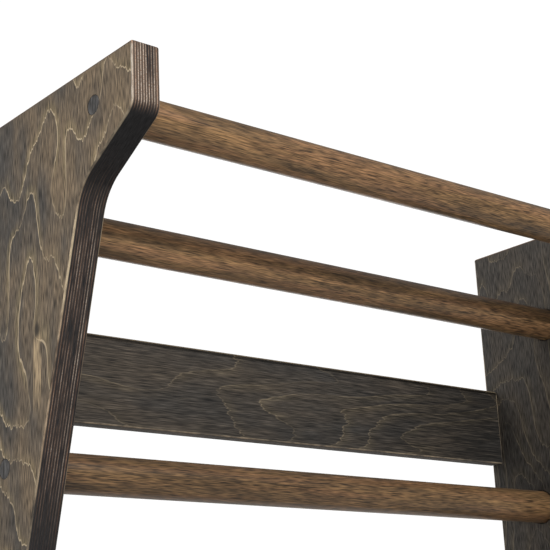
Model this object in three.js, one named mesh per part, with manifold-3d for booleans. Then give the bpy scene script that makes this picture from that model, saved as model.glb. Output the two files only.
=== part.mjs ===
// Wall bars with a forward pull-up bar, in millimetres, +Z up.
// Two birch plywood side panels hold a pull-up bar, a high bar, eleven rungs and two wall boards. The bars
// sit in blind sockets. Screws under wood plugs tie some of the bars, and both boards, to the panels.
// The origin is on the floor, in the middle of the width and of the depth. The front faces -Y.

import * as THREE from 'three';
import { mergeVertices } from 'three/addons/utils/BufferGeometryUtils.js';
import Module from 'manifold-3d';

const wasm = await Module();
wasm.setup();

// ---- Driving dimensions ----

const HEIGHT = 2200;
const INNER_WIDTH = 702;        // between the inner faces of the panels
const PANEL_THICKNESS = 28.5;   // 21-ply birch
const HEAD_DEPTH = 281.5;       // from the wall to the nose of the head
const SHANK_DEPTH = 100;        // from the wall to the front edge of the lower panel
const NOSE_HEIGHT = 61;         // straight front edge of the head, down to its corner
const THROAT = { depth: 199.5, drop: 106.5 };   // where the underside of the head meets the slanted edge
const KNEE_DROP = 450;          // from the top, where the slanted edge meets the lower front edge
const NOSE_RADIUS = 15;
const THROAT_RADIUS = 50;
const KNEE_RADIUS = 150;
const TOP_RADIUS = 2.5;
const FOOT_RADIUS = 8;
const PANEL_EDGE = 2;           // chamfer along every edge of a panel

const RELIEF = 6.3;             // the rear edge stands off the wall between the two boards
const UPPER_PAD = 333;          // rear edge that touches the wall, down from the top
const LOWER_PAD = 400;          // and up from the floor

const BAR_DIAMETER = 38;
const BAR_EDGE = 1;
const SOCKET_DEPTH = 12;
const PULL_UP_BAR = { depth: 220.5, drop: 38.5 };
const HIGH_BAR = { depth: 105, drop: 113 };
const RUNG_DEPTH = 71;          // from the wall to the axis of a rung
const FIRST_RUNG_DROP = 334;
const RUNG_PITCH = 165;
const RUNG_COUNT = 11;
const TIED_RUNGS = [1, 6, 11];  // rungs that are screwed as well as socketed

const BOARD_HEIGHT = 92;
const BOARD_THICKNESS = 18;
const BOARD_EDGE = 1.5;
const UPPER_BOARD_DROP = 181.5; // from the top to the top edge of the upper board
const BOARD_SCREW_SPACING = 50;

const PLUG_THICKNESS = 4;
const HEAD_THICKNESS = 3;
const HEAD_EDGE = 1;
const BAR_FIXING = { counterbore: 18.5, head: 16, shank: 7, reach: 70 };
const BOARD_FIXING = { counterbore: 12, head: 10, shank: 5, reach: 70 };

const GAP = 0.3;                // between pieces that touch
const OVERSHOOT = 1;            // how far a hole is cut past the face it opens, or past a screw's tip
const WELD = 1e-4;              // corners closer than this are one corner
const BAR_SIDES = 24;
const FIXING_SIDES = 12;
const ARC_STEPS = 6;

// ---- Values worked out from them ----

const INNER_X = INNER_WIDTH / 2;
const OUTER_X = INNER_X + PANEL_THICKNESS;
const COUNTERBORE_DEPTH = PLUG_THICKNESS + HEAD_THICKNESS + 2 * GAP;
const BAR_END_X = INNER_X + SOCKET_DEPTH - GAP;
const BOARD_END_X = INNER_X - GAP;
const SIDES = { left: -1, right: 1 };

const rungDrop = (number) => FIRST_RUNG_DROP + (number - 1) * RUNG_PITCH;
const midGap = (rungDrop(RUNG_COUNT - 1) + rungDrop(RUNG_COUNT)) / 2;
const LOWER_BOARD_DROP = midGap - BOARD_HEIGHT / 2;

// ---- Finishes ----

const FINISH = {
  panel: { color: 0x4c4640, roughness: 0.62, metalness: 0 },
  board: { color: 0x3e3832, roughness: 0.6, metalness: 0 },
  bar: { color: 0x5e452c, roughness: 0.5, metalness: 0 },
  plug: { color: 0x3a342e, roughness: 0.65, metalness: 0 },
  screw: { color: 0x9a9da1, roughness: 0.35, metalness: 1 },
};

// ---- Solids ----

function solidOf(geometry) {
  const plain = geometry.clone();
  plain.deleteAttribute('normal');
  plain.deleteAttribute('uv');
  const merged = mergeVertices(plain, WELD);
  return new wasm.Manifold(new wasm.Mesh({
    numProp: 3,
    vertProperties: new Float32Array(merged.attributes.position.array),
    triVerts: new Uint32Array(merged.index.array),
  }));
}

function geometryOf(solid) {
  const mesh = solid.getMesh();
  const geometry = new THREE.BufferGeometry();
  geometry.setAttribute('position', new THREE.BufferAttribute(mesh.vertProperties, 3));
  geometry.setIndex(new THREE.BufferAttribute(mesh.triVerts, 1));
  geometry.computeVertexNormals();
  return geometry;
}

function cut(geometry, cutters) {
  let solid = solidOf(geometry);
  for (const cutter of cutters) solid = solid.subtract(solidOf(cutter));
  return geometryOf(solid);
}

// A turned piece along X: the profile is [x, radius] from one end on the axis to the other.
function turned(profile, sides) {
  const points = profile.map(([x, radius]) => new THREE.Vector2(radius, x));
  return new THREE.LatheGeometry(points, sides).rotateZ(-Math.PI / 2);
}

// A round hole along X between two places, at a depth from the wall and a drop from the top.
function bore(diameter, fromX, toX, place, sides) {
  const [low, high] = [Math.min(fromX, toX), Math.max(fromX, toX)];
  const radius = diameter / 2;
  const geometry = turned([[low, 0], [low, radius], [high, radius], [high, 0]], sides);
  return geometry.translate(0, -place.depth, HEIGHT - place.drop);
}

// ---- Side panel ----

// Corners of the outline, as depth from the wall and height above the floor, each with its radius.
function panelCorners() {
  const reliefTop = HEIGHT - UPPER_PAD;
  return [
    { depth: 0, height: 0, radius: 0 },
    { depth: SHANK_DEPTH, height: 0, radius: FOOT_RADIUS },
    { depth: SHANK_DEPTH, height: HEIGHT - KNEE_DROP, radius: KNEE_RADIUS },
    { depth: THROAT.depth, height: HEIGHT - THROAT.drop, radius: THROAT_RADIUS },
    { depth: HEAD_DEPTH, height: HEIGHT - NOSE_HEIGHT, radius: NOSE_RADIUS },
    { depth: HEAD_DEPTH, height: HEIGHT, radius: TOP_RADIUS },
    { depth: 0, height: HEIGHT, radius: 0 },
    { depth: 0, height: reliefTop, radius: 0 },
    { depth: RELIEF, height: reliefTop - RELIEF, radius: 0 },
    { depth: RELIEF, height: LOWER_PAD + RELIEF, radius: 0 },
    { depth: 0, height: LOWER_PAD, radius: 0 },
  ];
}

// A closed outline whose corners are rounded by arcs that touch both neighbouring edges.
function roundedOutline(corners) {
  const shape = new THREE.Shape();
  const points = corners.map((corner) => new THREE.Vector2(corner.depth, corner.height));
  points.forEach((point, index) => {
    const before = points[(index + points.length - 1) % points.length];
    const after = points[(index + 1) % points.length];
    const arriving = point.clone().sub(before).normalize();
    const leaving = after.clone().sub(point).normalize();
    const { radius } = corners[index];
    const turn = Math.atan2(arriving.cross(leaving), arriving.dot(leaving));
    const reach = radius * Math.tan(Math.abs(turn) / 2);
    const start = point.clone().addScaledVector(arriving, -reach);
    if (index === 0) shape.moveTo(start.x, start.y);
    else shape.lineTo(start.x, start.y);
    if (radius === 0) return;
    const side = Math.sign(turn);
    const centre = new THREE.Vector2(-arriving.y, arriving.x).multiplyScalar(side * radius).add(start);
    const from = Math.atan2(start.y - centre.y, start.x - centre.x);
    shape.absarc(centre.x, centre.y, radius, from, from + turn, turn < 0);
  });
  shape.closePath();
  return shape;
}

function panelBlank(side) {
  const geometry = new THREE.ExtrudeGeometry(roundedOutline(panelCorners()), {
    depth: PANEL_THICKNESS - 2 * PANEL_EDGE,
    bevelThickness: PANEL_EDGE,
    bevelSize: PANEL_EDGE,
    bevelOffset: -PANEL_EDGE,
    bevelSegments: 1,
    curveSegments: ARC_STEPS,
  });
  const towardsFront = new THREE.Vector3(0, -1, 0);
  const up = new THREE.Vector3(0, 0, 1);
  const acrossThickness = new THREE.Vector3(-1, 0, 0);
  geometry.applyMatrix4(new THREE.Matrix4().makeBasis(towardsFront, up, acrossThickness));
  const startX = side > 0 ? OUTER_X : -INNER_X;
  return geometry.translate(startX - PANEL_EDGE, 0, 0);
}

function socket(side, place) {
  const diameter = BAR_DIAMETER + 2 * GAP;
  return bore(diameter, side * (INNER_X - OVERSHOOT), side * (INNER_X + SOCKET_DEPTH), place, BAR_SIDES);
}

// A counterbore from the outer face for the plug and the screw head, and a clearance hole for the shank.
function fixingHole(side, fixing, place) {
  const floorX = OUTER_X - COUNTERBORE_DEPTH;
  const clearance = fixing.shank + 2 * GAP;
  return [
    bore(fixing.counterbore, side * floorX, side * (OUTER_X + OVERSHOOT), place, FIXING_SIDES),
    bore(clearance, side * (INNER_X - OVERSHOOT), side * (floorX + OVERSHOOT), place, FIXING_SIDES),
  ];
}

function sidePanel(side) {
  const cutters = bars.map((bar) => socket(side, bar.place));
  for (const fixing of fixings) cutters.push(...fixingHole(side, fixing.kind, fixing.place));
  return cut(panelBlank(side), cutters);
}

// ---- Bars ----

const bars = [
  { name: 'pull_up_bar', place: PULL_UP_BAR, tied: true },
  { name: 'high_bar', place: HIGH_BAR, tied: false },
];
for (let number = 1; number <= RUNG_COUNT; number += 1) {
  bars.push({
    name: `rung_${String(number).padStart(2, '0')}`,
    place: { depth: RUNG_DEPTH, drop: rungDrop(number) },
    tied: TIED_RUNGS.includes(number),
  });
}

const atCentre = { depth: 0, drop: HEIGHT };

function barGeometry(bar) {
  const radius = BAR_DIAMETER / 2;
  const blank = turned([
    [-BAR_END_X, 0],
    [-BAR_END_X, radius - BAR_EDGE],
    [-BAR_END_X + BAR_EDGE, radius],
    [BAR_END_X - BAR_EDGE, radius],
    [BAR_END_X, radius - BAR_EDGE],
    [BAR_END_X, 0],
  ], BAR_SIDES);
  if (!bar.tied) return blank;
  return cut(blank, Object.values(SIDES).map((side) => pilotHole(side, BAR_FIXING, atCentre)));
}

// The hole that a screw's shank sits in, from the end of a bar or board inwards.
function pilotHole(side, fixing, place) {
  const tipX = OUTER_X - COUNTERBORE_DEPTH - fixing.reach;
  return bore(fixing.shank + 2 * GAP, side * (tipX - OVERSHOOT), side * OUTER_X, place, FIXING_SIDES);
}

// ---- Wall boards ----

const boards = [
  { name: 'upper_wall_board', drop: UPPER_BOARD_DROP },
  { name: 'lower_wall_board', drop: LOWER_BOARD_DROP },
];

const boardScrewPlaces = (board) => [-0.5, 0.5].map((step) => ({
  depth: BOARD_THICKNESS / 2,
  drop: board.drop + BOARD_HEIGHT / 2 + step * BOARD_SCREW_SPACING,
}));

function boardGeometry(board) {
  const low = HEIGHT - board.drop - BOARD_HEIGHT;
  const outline = new THREE.Shape();
  outline.moveTo(0, low);
  outline.lineTo(BOARD_THICKNESS, low);
  outline.lineTo(BOARD_THICKNESS, low + BOARD_HEIGHT);
  outline.lineTo(0, low + BOARD_HEIGHT);
  outline.closePath();
  const length = 2 * BOARD_END_X;
  const geometry = new THREE.ExtrudeGeometry(outline, {
    depth: length - 2 * BOARD_EDGE,
    bevelThickness: BOARD_EDGE,
    bevelSize: BOARD_EDGE,
    bevelOffset: -BOARD_EDGE,
    bevelSegments: 1,
  });
  geometry.applyMatrix4(new THREE.Matrix4().makeBasis(
    new THREE.Vector3(0, -1, 0),
    new THREE.Vector3(0, 0, 1),
    new THREE.Vector3(-1, 0, 0),
  ));
  geometry.translate(BOARD_END_X - BOARD_EDGE, 0, 0);
  const places = boardScrewPlaces(board);
  const holes = places.flatMap((place) => (
    Object.values(SIDES).map((side) => pilotHole(side, BOARD_FIXING, place))
  ));
  return cut(geometry, holes);
}

// ---- Screws and plugs ----

const fixings = [];
for (const bar of bars.filter((candidate) => candidate.tied)) {
  fixings.push({ name: bar.name, kind: BAR_FIXING, place: bar.place });
}
for (const board of boards) {
  const [upper, lower] = boardScrewPlaces(board);
  fixings.push({ name: `${board.name}_upper`, kind: BOARD_FIXING, place: upper });
  fixings.push({ name: `${board.name}_lower`, kind: BOARD_FIXING, place: lower });
}

// A pan-head screw along +X, its head's outer face at the origin.
function screwGeometry(fixing) {
  const tip = fixing.shank;
  return turned([
    [-fixing.reach - HEAD_THICKNESS, 0],
    [-fixing.reach - HEAD_THICKNESS + tip, fixing.shank / 2],
    [-HEAD_THICKNESS, fixing.shank / 2],
    [-HEAD_THICKNESS, fixing.head / 2],
    [-HEAD_EDGE, fixing.head / 2],
    [0, fixing.head / 2 - HEAD_EDGE],
    [0, 0],
  ], FIXING_SIDES);
}

// A flat wood plug along +X, its outer face at the origin.
function plugGeometry(fixing) {
  const radius = fixing.counterbore / 2 - GAP;
  return turned([[-PLUG_THICKNESS, 0], [-PLUG_THICKNESS, radius], [0, radius], [0, 0]], FIXING_SIDES);
}

// ---- Assembly ----

function piece(name, geometry, finish) {
  const mesh = new THREE.Mesh(geometry, new THREE.MeshStandardMaterial(FINISH[finish]));
  mesh.name = name;
  return mesh;
}

const wallBars = new THREE.Group();
wallBars.position.y = HEAD_DEPTH / 2;

for (const [sideName, side] of Object.entries(SIDES)) {
  wallBars.add(piece(`${sideName}_side_panel`, sidePanel(side), 'panel'));
}
for (const bar of bars) {
  const mesh = piece(bar.name, barGeometry(bar), 'bar');
  mesh.position.set(0, -bar.place.depth, HEIGHT - bar.place.drop);
  wallBars.add(mesh);
}
for (const board of boards) wallBars.add(piece(board.name, boardGeometry(board), 'board'));
for (const fixing of fixings) {
  for (const [sideName, side] of Object.entries(SIDES)) {
    const height = HEIGHT - fixing.place.drop;
    const screw = piece(`${fixing.name}_screw_${sideName}`, screwGeometry(fixing.kind), 'screw');
    const plug = piece(`${fixing.name}_plug_${sideName}`, plugGeometry(fixing.kind), 'plug');
    screw.position.set(side * (OUTER_X - PLUG_THICKNESS - GAP), -fixing.place.depth, height);
    plug.position.set(side * OUTER_X, -fixing.place.depth, height);
    for (const mesh of [screw, plug]) {
      if (side < 0) mesh.rotation.z = Math.PI;
      wallBars.add(mesh);
    }
  }
}

export default wallBars;
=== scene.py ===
"""Wall bars with a forward pull-up bar: the looks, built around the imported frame.

Every length is in metres. X runs along the bars, Y towards the wall and Z up, so the front faces -Y.
A place on a side panel is given as its depth from the wall and its drop from the top of the panels.
"""

import math

import bmesh
import bpy
import numpy as np
from bpy.props import FloatProperty, FloatVectorProperty, PointerProperty
from mathutils import Matrix, Vector
from mathutils.geometry import delaunay_2d_cdt


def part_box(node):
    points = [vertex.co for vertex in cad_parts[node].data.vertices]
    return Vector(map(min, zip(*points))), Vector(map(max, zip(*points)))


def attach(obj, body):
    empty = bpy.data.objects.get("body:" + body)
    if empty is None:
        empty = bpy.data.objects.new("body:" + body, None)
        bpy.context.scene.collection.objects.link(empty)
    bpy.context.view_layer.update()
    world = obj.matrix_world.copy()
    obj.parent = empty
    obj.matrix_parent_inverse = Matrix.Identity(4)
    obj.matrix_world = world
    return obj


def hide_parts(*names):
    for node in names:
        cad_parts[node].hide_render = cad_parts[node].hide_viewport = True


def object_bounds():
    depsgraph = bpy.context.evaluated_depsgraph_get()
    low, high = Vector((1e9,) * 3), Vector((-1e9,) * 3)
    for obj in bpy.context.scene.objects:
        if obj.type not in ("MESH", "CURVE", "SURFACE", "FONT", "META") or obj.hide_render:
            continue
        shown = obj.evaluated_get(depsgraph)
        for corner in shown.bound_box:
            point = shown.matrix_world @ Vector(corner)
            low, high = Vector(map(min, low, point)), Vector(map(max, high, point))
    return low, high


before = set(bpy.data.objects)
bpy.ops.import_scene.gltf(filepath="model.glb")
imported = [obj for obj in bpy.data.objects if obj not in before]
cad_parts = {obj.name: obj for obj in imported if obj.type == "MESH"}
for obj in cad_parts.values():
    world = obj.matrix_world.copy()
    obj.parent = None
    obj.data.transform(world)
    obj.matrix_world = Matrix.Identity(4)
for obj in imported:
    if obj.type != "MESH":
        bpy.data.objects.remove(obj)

bl_info = {
    "name": "Wall bars",
    "version": (1, 0, 0),
    "blender": (4, 5, 0),
    "location": "View3D > Sidebar > Wall bars",
    "description": "Builds the finished panels, bars, boards and plugs of a set of wall bars",
    "category": "Add Mesh",
}

MM = 0.001
WELD = 1e-6  # points closer than this are one point
ALL_TRIANGLES = 0  # the triangulation's output type that keeps every triangle
CAD_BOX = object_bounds()

# ---- Places read from the frame ----

WALL_Y = CAD_BOX[1].y
HEIGHT = CAD_BOX[1].z
HEAD_DEPTH = CAD_BOX[1].y - CAD_BOX[0].y
OUTER_X = CAD_BOX[1].x
INNER_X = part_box("right_side_panel")[0].x
PANEL_THICKNESS = OUTER_X - INNER_X
SIDES = {"left": -1, "right": 1}

RUNG_NAMES = sorted(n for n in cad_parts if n.startswith("rung_") and n[5:].isdigit())
BAR_NAMES = ["pull_up_bar", "high_bar", *RUNG_NAMES]
BOARD_NAMES = ["upper_wall_board", "lower_wall_board"]
SCREW_NAMES = sorted(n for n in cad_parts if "_screw_" in n)
PLUG_NAMES = sorted(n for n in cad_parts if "_plug_" in n)


def centre(node):
    """The middle of a CAD node's box."""
    low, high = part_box(node)
    return (low + high) / 2


# ---- Shape of the side panel, as in the CAD ----

SHANK_DEPTH = 100 * MM
NOSE_HEIGHT = 61 * MM
THROAT = (199.5 * MM, 106.5 * MM)
KNEE_DROP = 450 * MM
UPPER_PAD = 333 * MM
LOWER_PAD = 400 * MM
RELIEF = 6.3 * MM
CORNER_RADIUS = 2.5 * MM
NOSE_RADIUS = 15 * MM
THROAT_RADIUS = 50 * MM
KNEE_RADIUS = 150 * MM
FOOT_RADIUS = 8 * MM

SOCKET_DEPTH = 12 * MM
GAP = 0.3 * MM
PLUG_THICKNESS = 4 * MM
SCREW_HEAD = 3 * MM
SHANK_RADIUS = {"bar": 3.5 * MM, "board": 2.5 * MM}
PLUG_EASING = 0.35 * MM
PILOT_SPARE = 1 * MM
COUNTERBORE_DEPTH = PLUG_THICKNESS + SCREW_HEAD + 2 * GAP

# ---- The knot in the left panel's face, and how finely curves are cut ----

KNOT_DEPTH = 126 * MM
KNOT_DROP = 219 * MM
ARC_STEP = math.radians(5)
ROUND_STEPS = 5
CIRCLE_STEPS = 64


# ---- Settings that a user would change ----


def colour_property(name, description, default):
    return FloatVectorProperty(
        name=name, description=description, default=default, subtype="COLOR", min=0, max=1
    )


class WallBarsSizes(bpy.types.PropertyGroup):
    panel_round: FloatProperty(
        name="Panel round-over",
        description="Radius along the edges of the side panels",
        default=2 * MM,
        unit="LENGTH",
    )
    board_round: FloatProperty(
        name="Board round-over",
        description="Radius along the edges of the wall boards",
        default=1.5 * MM,
        unit="LENGTH",
    )
    bar_round: FloatProperty(
        name="Bar end round-over",
        description="Radius at the ends of the bars",
        default=1 * MM,
        unit="LENGTH",
    )
    socket_lip: FloatProperty(
        name="Socket lip",
        description="Size of the chamfer at the mouth of each bar socket",
        default=1.1 * MM,
        unit="LENGTH",
    )
    ply: FloatProperty(
        name="Ply thickness",
        description="Thickness of one veneer in the plywood",
        default=28.5 * MM / 21,
        unit="LENGTH",
        precision=5,
    )


class WallBarsFinish(bpy.types.PropertyGroup):
    stain_dark: colour_property("Dark stain", "Stain where the veneer took most of it", (0.060, 0.054, 0.048))
    stain_brown: colour_property(
        "Brown stain", "Stain where the veneer took less of it", (0.165, 0.120, 0.076)
    )
    bare_grain: colour_property(
        "Bare grain", "Hard grain lines that show through the stain", (0.48, 0.38, 0.25)
    )
    ply_dark: colour_property("Cross ply", "End grain in the plywood's edge", (0.0175, 0.0165, 0.0170))
    ply_light: colour_property("Long ply", "Long grain in the plywood's edge", (0.24, 0.16, 0.11))
    bar_dark: colour_property("Bar stain", "Darkest stain on the bars", (0.085, 0.050, 0.024))
    bar_light: colour_property("Bar grain", "Lightest grain on the bars", (0.275, 0.156, 0.066))
    bar_red: colour_property("Bar flame", "Redder flames along the bars", (0.215, 0.110, 0.054))
    plug_dark: colour_property("Plug stain", "Stain on the wood plugs", (0.026, 0.025, 0.0245))


class WallBarsStage(bpy.types.PropertyGroup):
    camera_azimuth: FloatProperty(
        name="Camera azimuth",
        description="Heading of the camera, from +Y towards +X",
        default=math.radians(40.314),
        subtype="ANGLE",
    )
    camera_elevation: FloatProperty(
        name="Camera elevation",
        description="How far the camera looks up",
        default=math.radians(16.766),
        subtype="ANGLE",
    )
    camera_roll: FloatProperty(
        name="Camera roll",
        description="Turn of the camera about its line of sight",
        default=math.radians(-2.720),
        subtype="ANGLE",
    )
    camera_place: FloatVectorProperty(
        name="Camera place",
        description="Where the camera stands, from the wall plane above the origin",
        default=(-0.97958, -1.16102, 1.66625),
        unit="LENGTH",
    )
    lens: FloatProperty(
        name="Lens",
        description="Focal length of the camera, in millimetres",
        default=90.43,
    )
    key_elevation: FloatProperty(
        name="Key light elevation",
        description="Height of the key light above the horizon",
        default=math.radians(30.4),
        subtype="ANGLE",
    )
    key_azimuth: FloatProperty(
        name="Key light azimuth",
        description="How far the key light stands to the left of the front",
        default=0.0,
        subtype="ANGLE",
    )


# ---- Surfaces ----


class Surface:
    """Patches of a closed surface, joined into one mesh."""

    def __init__(self):
        self.points, self.faces, self.uvs, self.smooth, self.slots = [], [], [], [], []
        self.count = 0

    def add(self, points, faces, uvs, smooth, slot):
        """Adds flat arrays of points, lists of corner numbers, and one (u, v) for each corner."""
        self.points.append(points)
        self.faces += [[corner + self.count for corner in face] for face in faces]
        self.uvs.append(uvs)
        self.smooth += [smooth] * len(faces)
        self.slots += [slot] * len(faces)
        self.count += len(points)

    def grid(self, points, uv, smooth=True, slot=0):
        """Adds a grid of points of shape (rows, columns, 3) with its (u, v) of shape (rows, columns, 2)."""
        rows, columns = points.shape[:2]
        index = np.arange(rows * columns).reshape(rows, columns)
        quads = np.stack([index[:-1, :-1], index[1:, :-1], index[1:, 1:], index[:-1, 1:]], axis=-1)
        quads = quads.reshape(-1, 4)
        corner_uv = uv.reshape(-1, 2)[quads].reshape(-1, 2)
        self.add(points.reshape(-1, 3), quads.tolist(), corner_uv, smooth, slot)

    def polygons(self, points, faces, uv, slot=0):
        """Adds flat faces with the same points and (u, v)."""
        corners = np.concatenate([np.asarray(face) for face in faces])
        self.add(points, [list(face) for face in faces], uv[corners], False, slot)

    def object(self, name, materials):
        """Welds the patches, turns every face outwards and returns the object."""
        mesh = bpy.data.meshes.new(name)
        mesh.from_pydata(np.concatenate(self.points).tolist(), [], self.faces)
        layer = mesh.uv_layers.new(name="surface")
        layer.data.foreach_set("uv", np.concatenate(self.uvs).astype(np.float32).ravel())
        mesh.polygons.foreach_set("use_smooth", self.smooth)
        mesh.polygons.foreach_set("material_index", self.slots)
        work = bmesh.new()
        work.from_mesh(mesh)
        bmesh.ops.remove_doubles(work, verts=work.verts, dist=WELD)
        bmesh.ops.recalc_face_normals(work, faces=work.faces)
        work.to_mesh(mesh)
        work.free()
        for material in materials:
            mesh.materials.append(material)
        made = bpy.data.objects.new(name, mesh)
        bpy.context.scene.collection.objects.link(made)
        return made


def rounded_outline(corners):
    """Points, outward normals and running length of a closed outline.

    Each corner is (x, y, radius), anticlockwise. A corner's arc has its centre where the two edges,
    moved in by the radius, meet, and runs from one edge's normal to the other's. The first point is
    repeated at the end.
    """
    xy = np.array([corner[:2] for corner in corners])
    radii = np.array([corner[2] for corner in corners])
    arriving = xy - np.roll(xy, 1, axis=0)
    arriving /= np.linalg.norm(arriving, axis=1, keepdims=True)
    leaving = np.roll(arriving, -1, axis=0)
    turn = np.arctan2(
        arriving[:, 0] * leaving[:, 1] - arriving[:, 1] * leaving[:, 0],
        np.sum(arriving * leaving, axis=1),
    )
    points, normals = [], []
    for corner, radius, along, angle in zip(xy, radii, arriving, turn):
        signed = math.copysign(radius, angle)
        start = corner - along * radius * math.tan(abs(angle) / 2)
        middle = start + signed * np.array([-along[1], along[0]])
        steps = max(2, math.ceil(abs(angle) / ARC_STEP) + 1)
        heading = math.atan2(-along[0], along[1]) + np.linspace(0, angle, steps)
        normal = np.stack([np.cos(heading), np.sin(heading)], axis=1)
        points.append(middle + signed * normal)
        normals.append(normal)
    points, normals = np.concatenate(points), np.concatenate(normals)
    points, normals = np.vstack([points, points[:1]]), np.vstack([normals, normals[:1]])
    length = np.concatenate([[0], np.cumsum(np.linalg.norm(np.diff(points, axis=0), axis=1))])
    return points, normals, length


def edge_profile(thickness, radius):
    """How far each ring of a slab's edge lies inside the outline, and how far through the thickness.

    A quarter circle of the radius, the straight edge, then the same quarter circle mirrored.
    """
    angle = np.linspace(0, math.pi / 2, ROUND_STEPS + 1)
    inset = radius * (1 - np.sin(angle))
    through = radius * (1 - np.cos(angle))
    return np.concatenate([inset, inset[::-1]]), np.concatenate([through, thickness - through[::-1]])


def circle(radius, place):
    """Points on a circle about a place, (x, y) = place + radius * (cos, sin), the first repeated."""
    angle = np.linspace(0, 2 * math.pi, CIRCLE_STEPS + 1)
    return np.asarray(place) + radius * np.stack([np.cos(angle), np.sin(angle)], axis=1)


def slab(outline, thickness, radius, holes, to_world):
    """A flat slab with rounded edges and stepped round holes, as a Surface.

    The edge is the edge profile carried round the outline: the point at running length s and ring j is
    P(s) - inset(j) * N(s), at depth through(j). Each hole is (place, profile), where the profile lists
    (radius, through) from the near face inwards, or to the far face. Its wall is each of those turned
    about the hole's axis. The two faces are the outline with the circles that reach them cut out.
    """
    surface = Surface()
    points, normals, length = outline
    inset, through = edge_profile(thickness, radius)
    ring = points[:, None] - normals[:, None] * inset[None, :, None]
    grid = to_world(ring[..., 0], ring[..., 1], np.broadcast_to(through, ring.shape[:2]))
    uv = np.stack(np.broadcast_arrays(length[:, None], through[None, :]), axis=-1)
    surface.grid(grid, uv, slot=1)
    mouths = {0.0: [ring[:-1, 0]], thickness: [ring[:-1, -1]]}
    for place, profile in holes:
        loops = np.stack([circle(size, place) for size, _ in profile], axis=1)
        depth = np.array([step for _, step in profile])
        wall = to_world(loops[..., 0], loops[..., 1], np.broadcast_to(depth, loops.shape[:2]))
        surface.grid(wall, loops, smooth=False)
        for end in (0, -1):
            if profile[end][1] in mouths:
                mouths[profile[end][1]].append(loops[:-1, end])
            else:
                floor = loops[:-1, end]
                flat = to_world(floor[:, 0], floor[:, 1], np.full(len(floor), profile[end][1]))
                surface.polygons(flat, [range(len(floor))], floor)
    for depth, loops in mouths.items():
        add_face(surface, loops, depth, to_world)
    return surface


def add_face(surface, loops, depth, to_world):
    """Fills the flat face inside the first loop, its outline, and outside the circles cut out of it.

    Every triangle between the loops says which of them it lies in. Those in the outline alone are kept.
    """
    flat = np.concatenate(loops)
    starts = np.cumsum([0] + [len(loop) for loop in loops])
    rings = [list(range(first, last)) for first, last in zip(starts, starts[1:])]
    flat = [Vector(point) for point in flat]
    verts, _, faces, _, _, homes = delaunay_2d_cdt(flat, [], rings, ALL_TRIANGLES, WELD / 10)
    found = np.array([vert[:] for vert in verts])
    world = to_world(found[:, 0], found[:, 1], np.full(len(found), depth))
    surface.polygons(world, [face for face, home in zip(faces, homes) if list(home) == [0]], found)


def turned(profile, axis_point, smooth_from):
    """A piece turned about X, as a Surface.

    The profile lists (x, radius). The point at profile step i and angle a is
    (x_i, radius_i * cos a, radius_i * sin a) about the axis point. The two ends are closed by flat discs.
    A step longer than smooth_from along X is smooth, and every other one is flat.
    """
    surface = Surface()
    x, radius = np.array(profile).T
    angle = np.linspace(0, 2 * math.pi, CIRCLE_STEPS + 1)
    grid = np.stack(
        [
            np.broadcast_to(x[:, None], (len(x), len(angle))),
            radius[:, None] * np.cos(angle),
            radius[:, None] * np.sin(angle),
        ],
        axis=-1,
    ) + np.asarray(axis_point)
    uv = np.stack(np.broadcast_arrays(x[:, None], angle[None, :] * radius.max()), axis=-1)
    for step, advance in enumerate(np.abs(np.diff(x))):
        surface.grid(grid[step:step + 2], uv[step:step + 2], smooth=bool(advance > smooth_from))
    for end in (0, -1):
        surface.polygons(grid[end, :-1], [range(CIRCLE_STEPS)], grid[end, :-1, 1:])
    return surface


# ---- Shader maths ----


class Value:
    """A node's output. Arithmetic on it adds Math nodes."""

    def __init__(self, shader, socket):
        self.shader, self.socket = shader, socket

    def maths(self, operation, *others):
        inputs = dict(enumerate((self, *others)))
        return self.shader.node("ShaderNodeMath", {"operation": operation}, inputs)

    def __add__(self, other):
        return self.maths("ADD", other)

    def __sub__(self, other):
        return self.maths("SUBTRACT", other)

    def __rsub__(self, other):
        return self.shader.node("ShaderNodeMath", {"operation": "SUBTRACT"}, {0: other, 1: self})

    def __mul__(self, other):
        return self.maths("MULTIPLY", other)

    def __truediv__(self, other):
        return self.maths("DIVIDE", other)

    def __pow__(self, other):
        return self.maths("POWER", other)

    __radd__ = __add__
    __rmul__ = __mul__

    def step(self, low, high):
        """0 below low, 1 above high, smooth between, whichever of the two is larger."""
        settings = {"interpolation_type": "SMOOTHSTEP"}
        if low < high:
            return self.shader.node("ShaderNodeMapRange", settings, {0: self, 1: low, 2: high})
        return self.shader.node("ShaderNodeMapRange", settings, {0: self, 1: high, 2: low, 3: 1.0, 4: 0.0})

    def clamp(self):
        return self.shader.node("ShaderNodeClamp", {}, {0: self})


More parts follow.
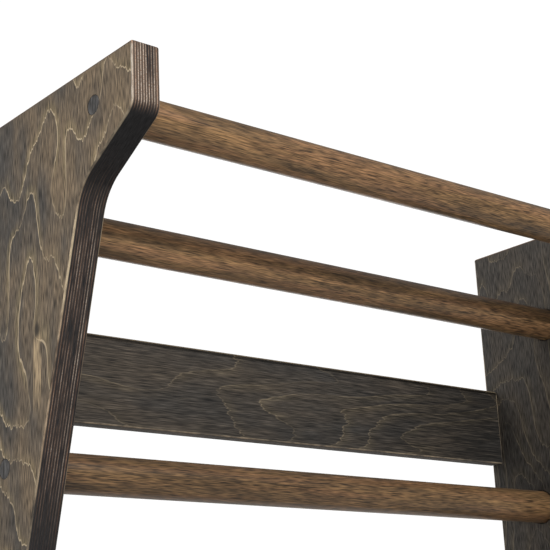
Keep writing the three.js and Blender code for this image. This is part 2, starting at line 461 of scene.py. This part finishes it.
class Shader:
    """A material's node tree."""

    def __init__(self, name):
        self.material = bpy.data.materials.new(name)
        self.material.use_nodes = True
        self.tree = self.material.node_tree
        self.principled = next(n for n in self.tree.nodes if n.type == "BSDF_PRINCIPLED")

    def node(self, kind, settings, inputs, output=0):
        """Adds a node: its settings first, then a value or a link for each socket, by number or by name."""
        node = self.tree.nodes.new(kind)
        for name, setting in settings.items():
            setattr(node, name, setting)
        for socket, given in inputs.items():
            self.feed(node.inputs[socket], given)
        return Value(self, node.outputs[output])

    def feed(self, socket, given):
        if isinstance(given, Value):
            self.tree.links.new(given.socket, socket)
        elif socket.type == "RGBA" and len(given) == 3:
            socket.default_value = (*given, 1)
        else:
            socket.default_value = given

    def mix(self, factor, first, second):
        """A colour between two colours."""
        settings = {"data_type": "RGBA", "clamp_factor": True}
        return self.node("ShaderNodeMix", settings, {0: factor, 6: first, 7: second}, output=2)

    def scale(self, colour, factor):
        """A colour made brighter or darker by a factor."""
        return self.node("ShaderNodeVectorMath", {"operation": "SCALE"}, {0: colour, "Scale": factor})

    def combine(self, x, y, z):
        return self.node("ShaderNodeCombineXYZ", {}, {0: x, 1: y, 2: z})

    def split(self, vector):
        return [self.node("ShaderNodeSeparateXYZ", {}, {0: vector}, output=axis) for axis in range(3)]

    def noise(self, x, y, z, detail=2.0, roughness=0.5):
        """Noise about 0.5 at a place given in cells. A seed can stand for one of the three numbers."""
        inputs = {"Vector": self.combine(x, y, z), "Scale": 1.0, "Detail": detail, "Roughness": roughness}
        return self.node("ShaderNodeTexNoise", {"noise_dimensions": "3D"}, inputs)

    def finish(self, colour, roughness, height, bump_distance, bump_strength, specular=0.5):
        """Links the colour, the roughness and a bump made from the height."""
        self.principled.inputs["Specular IOR Level"].default_value = specular
        inputs = {"Strength": bump_strength, "Distance": bump_distance, "Height": height}
        bump = self.node("ShaderNodeBump", {}, inputs)
        self.feed(self.principled.inputs["Base Color"], colour)
        self.feed(self.principled.inputs["Roughness"], roughness)
        self.feed(self.principled.inputs["Normal"], bump)
        return self.material


def scaled(colour, factor):
    """A fixed colour made brighter or darker by a factor."""
    return tuple(factor * channel for channel in colour)


def object_place(shader):
    """The place on the piece, as three numbers in metres."""
    return shader.split(shader.node("ShaderNodeTexCoord", {}, {}, output=3))


# ---- Materials ----


def ring_level(shader, across, along, seed):
    """How deep the veneer's cut lies in the growth rings, in rings, at a place in metres."""
    swell = shader.noise(across / 0.062, along / 0.17, seed, detail=1.0, roughness=0.4)
    drift = shader.noise(across / 0.17, along / 0.50, seed + 5.1, detail=0.0)
    return swell * 6.0 + drift * 6.0 + along / 0.065


def veneer_pattern(shader, across, along, seed, knot=None):
    """Grain of rotary-cut birch at a place in metres: the rings, the fibres, the tone and a knot.

    A ring's line is drawn where the ring level passes a half. Its distance is the rest of the level over
    the level's gradient, taken from two places close by, so every line has the same width. Each fibre
    slides a little along the grain, which leaves the slanted stretches of a line ragged. The rings bend
    round the knot, and a bare streak runs down from it.
    """
    fibre_shift = shader.noise(across / 0.0026, along / 0.3, seed + 11.3, detail=1.0)
    ragged = along + (fibre_shift - 0.5) * 0.010
    apart = 0.002
    level = ring_level(shader, across, ragged, seed)
    rise_across = (ring_level(shader, across + apart, ragged, seed) - level) / apart
    rise_along = (ring_level(shader, across, ragged + apart, seed) - level) / apart
    gradient = (rise_across * rise_across + rise_along * rise_along).maths("SQRT") + 4.0
    spot = streak = None
    if knot:
        side, lengthwise = across - knot[0], along - knot[1]
        reach = (side / 0.0062) ** 2.0 + (lengthwise / 0.0105) ** 2.0
        level = level + (reach * -0.12).maths("EXPONENT") * 1.1
        spot = (reach * -0.8).maths("EXPONENT").step(0.52, 0.95)
        below = lengthwise.step(0.000, -0.012) * lengthwise.step(-0.085, -0.040)
        streak = below * (side + 0.001).maths("ABSOLUTE").step(0.0082, 0.0046)
    after_line = (level - 0.5).maths("FRACT")
    to_line = (level.maths("FRACT") - 0.5).maths("ABSOLUTE") / gradient
    faint = shader.noise(across / 0.03, along / 0.08, seed + 2.7, detail=1.0).step(0.30, 0.58)
    return {
        "line": to_line.step(0.0007, 0.0002) * (faint * 0.7 + 0.3),
        "glow": (after_line / gradient).step(0.009, 0.0) * faint,
        "ring": 1.0 - after_line,
        "fibre": shader.noise(across / 0.0016, along / 0.030, seed + 3.1, detail=2.0, roughness=0.75),
        "fine": shader.noise(across / 0.0008, along / 0.012, seed + 4.9, detail=1.0),
        "tone": shader.noise(across / 0.034, along / 0.09, seed + 8.2, detail=2.0, roughness=0.6),
        "spot": spot,
        "streak": streak,
    }


KNOT_STREAK = (0.50, 0.37, 0.22)
LINE_GLOW = (0.250, 0.195, 0.105)


def veneer_colour(shader, grain, finish, line_strength, brightness, warmth, contrast=1.0):
    """Stain laid over the grain: dark in the soft wood, brown in the harder, with bare lines.

    Each line glows a little on one side. The warmth is the share of brown stain, and the contrast that of
    the fibres.
    """
    dark, brown, bare = finish.stain_dark, finish.stain_brown, finish.bare_grain
    tone = (grain["tone"] + grain["ring"] * 0.10 - 0.05).step(0.20, 0.80)
    colour = shader.mix(tone * warmth, dark, brown)
    colour = shader.mix(grain["glow"] * 0.45 * line_strength, colour, LINE_GLOW)
    streaky = ((grain["fibre"] - 0.5) * 1.2 + (grain["fine"] - 0.5) * 3.7) * contrast + 1.0
    colour = shader.scale(colour, streaky.maths("MAXIMUM", 0.22))
    colour = shader.mix(grain["fibre"].step(0.60, 0.78) * 0.16, colour, bare)
    colour = shader.mix(grain["line"] * line_strength * 0.95, colour, bare)
    if grain["streak"]:
        broken = grain["fibre"].step(0.36, 0.62) * 0.85 + grain["fine"].step(0.5, 0.7) * 0.25
        colour = shader.mix((grain["streak"] * broken).clamp(), colour, KNOT_STREAK)
        colour = shader.mix(grain["spot"] * 0.8, colour, scaled(dark, 0.3))
    return shader.scale(colour, brightness)


def finish_veneer(shader, grain, colour):
    """Oiled veneer: the hard fibres stand a little proud of the soft ones and are a little shinier."""
    roughness = 0.66 - grain["fibre"] * 0.14 - grain["line"] * 0.05
    height = grain["fibre"] * 0.6 + grain["fine"] * 0.25 + grain["line"] * 0.15
    return shader.finish(colour, roughness, height, 0.3 * MM, bump_strength=0.7, specular=0.25)


def panel_veneer(name, finish, seed, brightness, knot=None, line_strength=1.0, warmth=1.0):
    """Face of a side panel: birch veneer with its grain upright, browner towards the head, with painted light
    that makes it lighter towards the top.
    """
    shader = Shader(name)
    _, y, z = object_place(shader)
    grain = veneer_pattern(shader, y, z, seed, knot)
    grain["tone"] = grain["tone"] - (y - WALL_Y + 0.12) * 1.2
    # Painted light: the face grows lighter towards the top of the panel, where more light falls.
    level = (z.step(HEIGHT - 0.50, HEIGHT - 0.15) * 0.14 + 0.86) * brightness
    colour = veneer_colour(shader, grain, finish, line_strength, level, warmth)
    return finish_veneer(shader, grain, colour)


def board_veneer(name, finish, seed):
    """Face of a wall board: birch veneer with its grain along the board, and painted shade that makes it
    darkest at its right end.
    """
    shader = Shader(name)
    x, _, z = object_place(shader)
    grain = veneer_pattern(shader, z, x * 0.6, seed)
    long_fibres = shader.noise(z / 0.0010, x / 0.050, seed + 1.7, detail=2.0, roughness=0.7)
    colour = veneer_colour(shader, grain, finish, 0.42, brightness=0.44, warmth=0.45, contrast=0.9)
    # Painted shade: the colour is scaled down from the middle of the board to its right end, as if less light
    # reached it there.
    painted_shade_and_stain = 1.12 - x * 0.15 - x.step(0.02, 0.32) * 0.6
    colour = shader.scale(colour, ((long_fibres - 0.5) * 3.2 + painted_shade_and_stain).maths("MAXIMUM", 0.2))
    return finish_veneer(shader, grain, colour)


RUBBED_WOOD = (0.47, 0.42, 0.35)
BARE_FUZZ = (0.74, 0.63, 0.52)
RUST = (0.32, 0.14, 0.06)


def ply_edge(name, finish, plies, ply, seed, cross, bare_from=None, dark_to=None):
    """Edge of plywood, on the (u, v) of the edge: u runs round the outline and v through the plies.

    Long-grain plies, the even ones, stay paler than the cross plies, whose end grain drinks the stain and
    takes the cross colour. How pale each one is changes from ply to ply and along the edge, and the plies
    near an arris are rustier. The arrises are rubbed, most of all where hands pass below the head.
    Everything above bare_from is rubbed bare, save for a band of plies where the stain has gathered. Between
    bare_from
    and dark_to the plies are kept dark: painted shade where the head's shadow falls, over the stain of the
    underside.
    Further down the shank they darken again. Both are heights.
    """
    shader = Shader(name)
    u, v, _ = shader.split(shader.node("ShaderNodeUVMap", {"uv_map": "surface"}, {}))
    _, _, z = object_place(shader)
    thickness = plies * ply
    waver = (shader.noise(v / 0.004, u / 0.09, seed + 6.0, detail=1.0) - 0.5) * 0.0004
    count = (v + waver) / ply
    number = count.maths("FLOOR")
    within = count.maths("FRACT")
    long_grain = (1.0 - number.maths("MODULO", 2.0)) * within.step(0.08, 0.36) * within.step(0.92, 0.64)
    own = shader.node("ShaderNodeTexWhiteNoise", {"noise_dimensions": "1D"}, {"W": number + seed})
    streak = shader.noise(number * 3.7, u / 0.045, seed, detail=3.0, roughness=0.65)
    patch = shader.noise(v / 0.009, u / 0.06, seed + 1.0, detail=2.0)
    flecks = shader.noise(v / 0.0008, u / 0.010, seed + 3.0, detail=2.0, roughness=0.65)
    fuzz = shader.noise(v / 0.0005, u / 0.0016, seed + 2.0, detail=2.0)
    from_middle = (v - thickness / 2).maths("ABSOLUTE")
    arris = from_middle.step(thickness / 2 - 0.0015, thickness / 2 - 0.0008)
    near_arris = from_middle.step(thickness / 2 - 0.007, thickness / 2 - 0.002)
    amount = own * 0.45 + (streak - 0.5) * 2.2 + (patch - 0.5) * 1.4
    if bare_from is None:
        bare = 0.0
        worn = amount * 0.8 - 0.05
    else:
        bare = z.step(bare_from - 0.008, bare_from + 0.008)
        lower = z.step(dark_to - 0.14, dark_to - 0.26)
        # Painted shade: the plies stay dark below bare_from down to dark_to, where the head's shadow falls,
        # over the stain of the underside, and darken again further down the shank.
        painted_shade_and_stain = z.step(bare_from - 0.018, dark_to) * (1.0 - lower * 0.9)
        gathered = (v - thickness * 0.33).maths("ABSOLUTE").step(0.0054, 0.0034)
        polished = z.step(bare_from + 0.034, bare_from + 0.012)
        handled = amount + 0.88 - gathered * 0.70 + polished * 0.3
        worn = handled * bare + (amount * 0.8 + 0.20) * (1.0 - bare) * painted_shade_and_stain
    worn = worn.clamp()
    pale = long_grain * worn * (flecks * 1.5 + 0.1).clamp()
    warm = shader.mix((own - near_arris * 0.45).clamp(), RUST, finish.ply_light)
    warm = shader.mix(worn * fuzz.step(0.30, 0.65) * (1.0 - near_arris * 0.5), warm, BARE_FUZZ)
    colour = shader.mix(pale, shader.scale(cross, flecks * 2.4 - 0.2), warm)
    colour = shader.mix((1.0 - long_grain) * worn * (bare * 0.22 + 0.12), colour, finish.ply_light)
    grip_low, grip_high, fading = HEIGHT - 0.225, HEIGHT - 0.115, 0.025
    gripped = z.step(grip_low, grip_low + fading) * z.step(grip_high, grip_high - fading)
    rub = streak.step(0.38, 0.62) * 0.45 + bare * 0.35 + gripped * 0.6 + 0.10
    rub = arris * rub * z.step(HEIGHT - 0.002, HEIGHT - 0.006)
    rubbed = shader.mix(bare, scaled(finish.bare_grain, 0.8), RUBBED_WOOD)
    colour = shader.mix((rub * flecks * 1.8).clamp(), colour, rubbed)
    height = long_grain * 0.6 + fuzz * 0.3
    return shader.finish(colour, 0.72 - pale * 0.12, height, 0.25 * MM, bump_strength=0.7, specular=0.15)


def bar_wood(name, finish, seed, depth, painted_light_slope):
    """A turned birch bar with a warm stain: flecks along the bar, long flames, and cloudy patches.

    A greater depth makes the bar darker. The last argument is painted shade: how much darker the bar grows
    for each metre to the right, as the light falls off.
    """
    shader = Shader(name)
    x, y, z = object_place(shader)

    def along_bar(long_cell, round_cell, offset, detail, roughness=0.55):
        shifted = x / long_cell + (seed + offset)
        return shader.noise(shifted, y / round_cell, z / round_cell, detail, roughness)

    cloud = along_bar(0.07, 0.020, 0.0, 3.0)
    flame = along_bar(0.17, 0.010, 4.1, 1.5)
    flecks = along_bar(0.045, 0.0013, 7.7, 2.0, 0.65)
    fine = along_bar(0.015, 0.0008, 9.4, 1.0)
    rings = (flame * 8.0 + cloud * 1.2).maths("FRACT")
    late = rings.step(0.60, 0.96) * rings.step(1.0, 0.96)
    light = (cloud * 0.9 + flame * 0.4 - 0.15).step(0.15, 0.85)
    colour = shader.mix(light, finish.bar_dark, finish.bar_light)
    colour = shader.mix(flame.step(0.42, 0.62) * 0.55, colour, finish.bar_red)
    # Painted shade: the colour darkens along the bar to the right by the given slope, as the light falls off.
    streaky = (flecks - 0.5) * 1.5 + (fine - 0.5) * 4.2 + 1.0 - x * painted_light_slope
    colour = shader.scale(colour, streaky.maths("MAXIMUM", 0.2) / depth)
    colour = shader.mix(late * 0.35, colour, finish.bar_dark)
    roughness = 0.46 - flecks * 0.14
    height = flecks * 0.6 + fine * 0.3
    return shader.finish(colour, roughness, height, 0.3 * MM, bump_strength=0.7, specular=0.4)


def plug_wood(name, finish, seed):
    """A wood plug: fine upright grain, darker than the panel round it."""
    shader = Shader(name)
    _, y, z = object_place(shader)
    fibre = shader.noise(y / 0.0021, z / 0.016, seed, detail=2.0, roughness=0.6)
    pores = shader.noise(y / 0.0006, z / 0.004, seed + 1.0, detail=1.0)
    colour = shader.mix(fibre.step(0.40, 0.64), finish.plug_dark, scaled(finish.plug_dark, 3.4))
    colour = shader.mix(pores.step(0.6, 0.78) * 0.35, colour, finish.stain_brown)
    return shader.finish(colour, 0.6 + fibre * 0.15, fibre * 0.7 + pores * 0.3, 0.2 * MM, 0.6, specular=0.25)


def zinc_steel(name):
    """Zinc-plated steel of the screws: fine rings from turning, and a cloudy plating."""
    shader = Shader(name)
    x, y, z = object_place(shader)
    cloud = shader.noise(x / 0.004, y / 0.004, z / 0.004, detail=3.0)
    rings = shader.noise(x / 0.0002, 0.0, 0.0, detail=2.0)
    dull_zinc, bright_zinc = (0.42, 0.43, 0.44), (0.68, 0.68, 0.66)
    colour = shader.mix(cloud, dull_zinc, bright_zinc)
    shader.principled.inputs["Metallic"].default_value = 1.0
    return shader.finish(colour, 0.28 + cloud * 0.2, rings, 0.05 * MM, 0.4)


# ---- Pieces ----


def panel_outline():
    """The side panel's outline as (depth, height), with every corner rounded."""
    top = HEIGHT
    relief_top = top - UPPER_PAD
    return rounded_outline([
        (0, 0, CORNER_RADIUS),
        (SHANK_DEPTH, 0, FOOT_RADIUS),
        (SHANK_DEPTH, top - KNEE_DROP, KNEE_RADIUS),
        (THROAT[0], top - THROAT[1], THROAT_RADIUS),
        (HEAD_DEPTH, top - NOSE_HEIGHT, NOSE_RADIUS),
        (HEAD_DEPTH, top, CORNER_RADIUS),
        (0, top, CORNER_RADIUS),
        (0, relief_top, CORNER_RADIUS),
        (RELIEF, relief_top - RELIEF, CORNER_RADIUS),
        (RELIEF, LOWER_PAD + RELIEF, CORNER_RADIUS),
        (0, LOWER_PAD, CORNER_RADIUS),
    ])


def panel_holes(lip):
    """The panel's holes, from its inner face (0) to its outer face, as (place, profile) pairs."""
    socket_radius = (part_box("rung_01")[1].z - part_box("rung_01")[0].z) / 2 + GAP
    holes = []
    for name in BAR_NAMES:
        middle = centre(name)
        place = (WALL_Y - middle.y, middle.z)
        profile = [(socket_radius + lip, 0.0), (socket_radius, lip), (socket_radius, SOCKET_DEPTH)]
        if f"{name}_screw_left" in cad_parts:
            profile += fixing_profile(name)
        holes.append((place, profile))
    for name in sorted({n.rsplit("_screw_", 1)[0] for n in SCREW_NAMES} - set(BAR_NAMES)):
        middle = centre(f"{name}_screw_left")
        shank = fixing_profile(name)
        holes.append(((WALL_Y - middle.y, middle.z), [(shank[0][0], 0.0), *shank[1:]]))
    return holes


def fixing_profile(name):
    """The screw's clearance hole and the counterbore for its head and plug, out to the outer face."""
    plug_low, plug_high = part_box(f"{name}_plug_left")
    bore = (plug_high.z - plug_low.z) / 2 + GAP
    shank = SHANK_RADIUS["board" if "board" in name else "bar"] + GAP
    floor = PANEL_THICKNESS - COUNTERBORE_DEPTH
    return [(shank, SOCKET_DEPTH), (shank, floor), (bore, floor), (bore, PANEL_THICKNESS)]


def finish_piece(made, node):
    """Hides the CAD node that a made object stands for, and lets the made object ride on the only body."""
    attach(made, "root")
    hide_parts(node)


class WALLBARS_OT_side_panels(bpy.types.Operator):
    """Make both side panels, with their sockets and counterbores"""

    bl_idname = "wall_bars.side_panels"
    bl_label = "Side panels"

    def execute(self, context):
        sizes, finish = context.scene.wall_bars_sizes, context.scene.wall_bars_finish
        outline = panel_outline()
        holes = panel_holes(sizes.socket_lip)
        plies = round(PANEL_THICKNESS / sizes.ply)
        knot = (WALL_Y - KNOT_DEPTH, HEIGHT - KNOT_DROP)
        faces = {
            "left": panel_veneer("left_panel_veneer", finish, 3.0, 0.88, knot),
            "right": panel_veneer(
                "right_panel_veneer", finish, 21.0, 0.79, line_strength=0.3, warmth=0.24
            ),
        }
        for side_name, side in SIDES.items():
            edge = ply_edge(
                f"{side_name}_panel_ply", finish, plies, sizes.ply, 40.0 + side, finish.ply_dark,
                bare_from=HEIGHT - NOSE_HEIGHT + 4 * MM, dark_to=HEIGHT - 1.5 * THROAT[1],
            )

            def to_world(depth, height, through, side=side):
                return np.stack([side * (INNER_X + through), WALL_Y - depth, height], axis=-1)

            panel = slab(outline, PANEL_THICKNESS, sizes.panel_round, holes, to_world)
            made = panel.object(f"{side_name}_panel", [faces[side_name], edge])
            finish_piece(made, f"{side_name}_side_panel")
        return {"FINISHED"}


# Depth of each bar's colour, and the slope of painted shade that darkens it to the right; the bars take them
# in turn from the top.
BAR_DARKNESS_AND_PAINTED_LIGHT = [(1.08, 0.44), (1.10, 0.66), (1.62, -0.36)]


class WALLBARS_OT_bars(bpy.types.Operator):
    """Make the pull-up bar, the high bar and the rungs"""

    bl_idname = "wall_bars.bars"
    bl_label = "Bars"

    def execute(self, context):
        sizes, finish = context.scene.wall_bars_sizes, context.scene.wall_bars_finish
        woods = [
            bar_wood(f"bar_grain_{number}", finish, 17.3 * number, depth, painted_light_slope)
            for number, (depth, painted_light_slope) in enumerate(BAR_DARKNESS_AND_PAINTED_LIGHT)
        ]
        for number, name in enumerate(BAR_NAMES):
            low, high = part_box(name)
            wood = woods[number % len(woods)]
            profile = self.profile(high.x, (high.z - low.z) / 2, sizes.bar_round, name)
            made = turned(profile, centre(name), smooth_from=1e-9).object(f"{name}_turned", [wood])
            finish_piece(made, name)
        return {"FINISHED"}

    @staticmethod
    def profile(end, radius, rounding, name):
        """One end's pilot hole, if the bar is screwed, its rounded edge, and the same mirrored."""
        angles = np.linspace(0, math.pi / 2, ROUND_STEPS + 1)
        half = [(end - rounding * (1 - math.sin(a)), radius - rounding * (1 - math.cos(a))) for a in angles]
        if f"{name}_screw_left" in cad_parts:
            pilot = SHANK_RADIUS["bar"] + GAP
            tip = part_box(f"{name}_screw_right")[0].x - PILOT_SPARE
            half += [(end, pilot), (tip, pilot)]
        return [(-x, r) for x, r in reversed(half)] + half


class WALLBARS_OT_wall_boards(bpy.types.Operator):
    """Make both wall boards"""

    bl_idname = "wall_bars.wall_boards"
    bl_label = "Wall boards"

    def execute(self, context):
        sizes, finish = context.scene.wall_bars_sizes, context.scene.wall_bars_finish
        for number, name in enumerate(BOARD_NAMES):
            low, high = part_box(name)
            thickness = high.y - low.y
            radius = 2 * sizes.board_round
            outline = rounded_outline([
                (low.x, low.z, radius),
                (high.x, low.z, radius),
                (high.x, high.z, radius),
                (low.x, high.z, radius),
            ])

            def to_world(x, z, through, front=low.y):
                return np.stack([x, front + through, z], axis=-1)

            face = board_veneer(f"{name}_veneer", finish, seed=60.0 + 9 * number)
            plies = round(thickness / sizes.ply)
            ply = thickness / plies
            edge = ply_edge(f"{name}_ply", finish, plies, ply, 70.0 + number, finish.stain_dark)
            board = slab(outline, thickness, sizes.board_round, [], to_world)
            finish_piece(board.object(f"{name}_sawn", [face, edge]), name)
        return {"FINISHED"}


class WALLBARS_OT_plugs(bpy.types.Operator):
    """Make the wood plugs over the screws"""

    bl_idname = "wall_bars.plugs"
    bl_label = "Wood plugs"

    def execute(self, context):
        finish = context.scene.wall_bars_finish
        wood = plug_wood("plug_grain", finish, seed=90.0)
        for name in PLUG_NAMES:
            low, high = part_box(name)
            middle = (low + high) / 2
            radius = (high.z - low.z) / 2
            profile = [
                (low.x, radius - PLUG_EASING),
                (low.x + PLUG_EASING, radius),
                (high.x - PLUG_EASING, radius),
                (high.x, radius - PLUG_EASING),
            ]
            plug = turned(profile, (0, middle.y, middle.z), smooth_from=PLUG_EASING + WELD)
            finish_piece(plug.object(f"{name}_cut", [wood]), name)
        return {"FINISHED"}


class WALLBARS_OT_screws(bpy.types.Operator):
    """Give the screws their zinc-plated steel"""

    bl_idname = "wall_bars.screws"
    bl_label = "Screws"

    def execute(self, context):
        steel = zinc_steel("zinc_steel")
        for name in SCREW_NAMES:
            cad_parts[name].material_slots[0].material = steel
        return {"FINISHED"}


class WALLBARS_OT_stage(bpy.types.Operator):
    """Set up the floor, the lights and the camera"""

    bl_idname = "wall_bars.stage"
    bl_label = "Stage"

    def execute(self, context):
        stage = context.scene.wall_bars_stage
        self.make_floor()
        self.make_world(context)
        self.make_lights(stage)
        self.make_camera(context, stage)
        return {"FINISHED"}

    @staticmethod
    def make_floor():
        shader = Shader("pale_floor")
        shader.principled.inputs["Roughness"].default_value = 0.9
        shader.principled.inputs["Base Color"].default_value = (0.66, 0.66, 0.65, 1)
        reach = 20.0
        corners = [(-reach, -reach, 0), (reach, -reach, 0), (reach, reach, 0), (-reach, reach, 0)]
        mesh = bpy.data.meshes.new("floor")
        mesh.from_pydata(corners, [], [(0, 1, 2, 3)])
        mesh.materials.append(shader.material)
        floor = bpy.data.objects.new("floor", mesh)
        bpy.context.scene.collection.objects.link(floor)

    @staticmethod
    def make_world(context):
        """A white surround, dimmer as a light than as a background."""
        world = bpy.data.worlds.new("studio")
        context.scene.world = world
        world.use_nodes = True
        nodes, links = world.node_tree.nodes, world.node_tree.links
        background = next(n for n in nodes if n.type == "BACKGROUND")
        background.inputs["Color"].default_value = (1, 1, 1, 1)
        path = nodes.new("ShaderNodeLightPath")
        strength = nodes.new("ShaderNodeMapRange")
        strength.inputs["To Min"].default_value = 0.3
        strength.inputs["To Max"].default_value = 1.05
        links.new(path.outputs["Is Camera Ray"], strength.inputs["Value"])
        links.new(strength.outputs["Result"], background.inputs["Strength"])

    @staticmethod
    def add_light(kind, name, energy, place, target, **settings):
        """Adds a light at a place, turned to face the target."""
        light = bpy.data.lights.new(name, kind)
        light.energy = energy
        for setting, value in settings.items():
            setattr(light, setting, value)
        made = bpy.data.objects.new(name, light)
        made.location = place
        made.rotation_euler = (Vector(target) - Vector(place)).to_track_quat("-Z", "Y").to_euler()
        bpy.context.scene.collection.objects.link(made)

    def make_lights(self, stage):
        """A low sun from the front, a fill on the left panel's face, and two weaker fills."""
        head = Vector((0, 0, HEIGHT - 0.2))
        az, el = stage.key_azimuth, stage.key_elevation
        towards_key = Vector((-math.sin(az) * math.cos(el), -math.cos(az) * math.cos(el), math.sin(el)))
        self.add_light("SUN", "key", 2.2, head + 6 * towards_key, head, angle=math.radians(0.5))
        self.add_light("AREA", "left_fill", 152, (-5.0, 0.3, 2.9), (0, 0, 1.6), size=1.6)
        self.add_light("AREA", "front_fill", 15, (-1.4, -2.2, 1.8), (0, 0, 1.9), size=1.6)
        self.add_light("AREA", "back_fill", 60, (2.5, 4.0, 2.6), (0, 0, 1.2), size=3.0)

    @staticmethod
    def make_camera(context, stage):
        """The camera's axes come from its azimuth, its elevation and its roll."""
        az, el, roll = stage.camera_azimuth, stage.camera_elevation, stage.camera_roll
        forward = Vector((math.sin(az) * math.cos(el), math.cos(az) * math.cos(el), math.sin(el)))
        level = Vector((math.cos(az), -math.sin(az), 0))
        upright = level.cross(forward)
        right = level * math.cos(roll) + upright * math.sin(roll)
        up = right.cross(forward)
        data = bpy.data.cameras.new("camera")
        data.lens = stage.lens
        camera = bpy.data.objects.new("camera", data)
        turn = Matrix((right, up, -forward)).transposed().to_4x4()
        place = Vector(stage.camera_place) + Vector((0, WALL_Y, 0))
        camera.matrix_world = Matrix.Translation(place) @ turn
        context.scene.collection.objects.link(camera)
        context.scene.camera = camera
        context.scene.view_settings.view_transform = "Standard"


class WALLBARS_PT_panel(bpy.types.Panel):
    """Lists the sizes, the finishes, the stage and the operators"""

    bl_idname = "WALLBARS_PT_panel"
    bl_label = "Wall bars"
    bl_space_type = "VIEW_3D"
    bl_region_type = "UI"
    bl_category = "Wall bars"

    def draw(self, context):
        layout = self.layout
        for name in GROUPS:
            group = getattr(context.scene, name)
            box = layout.box()
            for setting in group.__annotations__:
                box.prop(group, setting)
        for operator in OPERATORS:
            layout.operator(operator.bl_idname)


OPERATORS = (
    WALLBARS_OT_stage,
    WALLBARS_OT_side_panels,
    WALLBARS_OT_bars,
    WALLBARS_OT_wall_boards,
    WALLBARS_OT_plugs,
    WALLBARS_OT_screws,
)
GROUPS = {
    "wall_bars_sizes": WallBarsSizes,
    "wall_bars_finish": WallBarsFinish,
    "wall_bars_stage": WallBarsStage,
}


def register():
    for cls in (*GROUPS.values(), *OPERATORS, WALLBARS_PT_panel):
        bpy.utils.register_class(cls)
    for name, group in GROUPS.items():
        setattr(bpy.types.Scene, name, PointerProperty(type=group))


def unregister():
    for name in GROUPS:
        delattr(bpy.types.Scene, name)
    for cls in reversed((*GROUPS.values(), *OPERATORS, WALLBARS_PT_panel)):
        bpy.utils.unregister_class(cls)


def main():
    register()
    bpy.ops.wall_bars.stage()
    bpy.ops.wall_bars.side_panels()
    bpy.ops.wall_bars.bars()
    bpy.ops.wall_bars.wall_boards()
    bpy.ops.wall_bars.plugs()
    bpy.ops.wall_bars.screws()


if __name__ == "__main__":
    main()
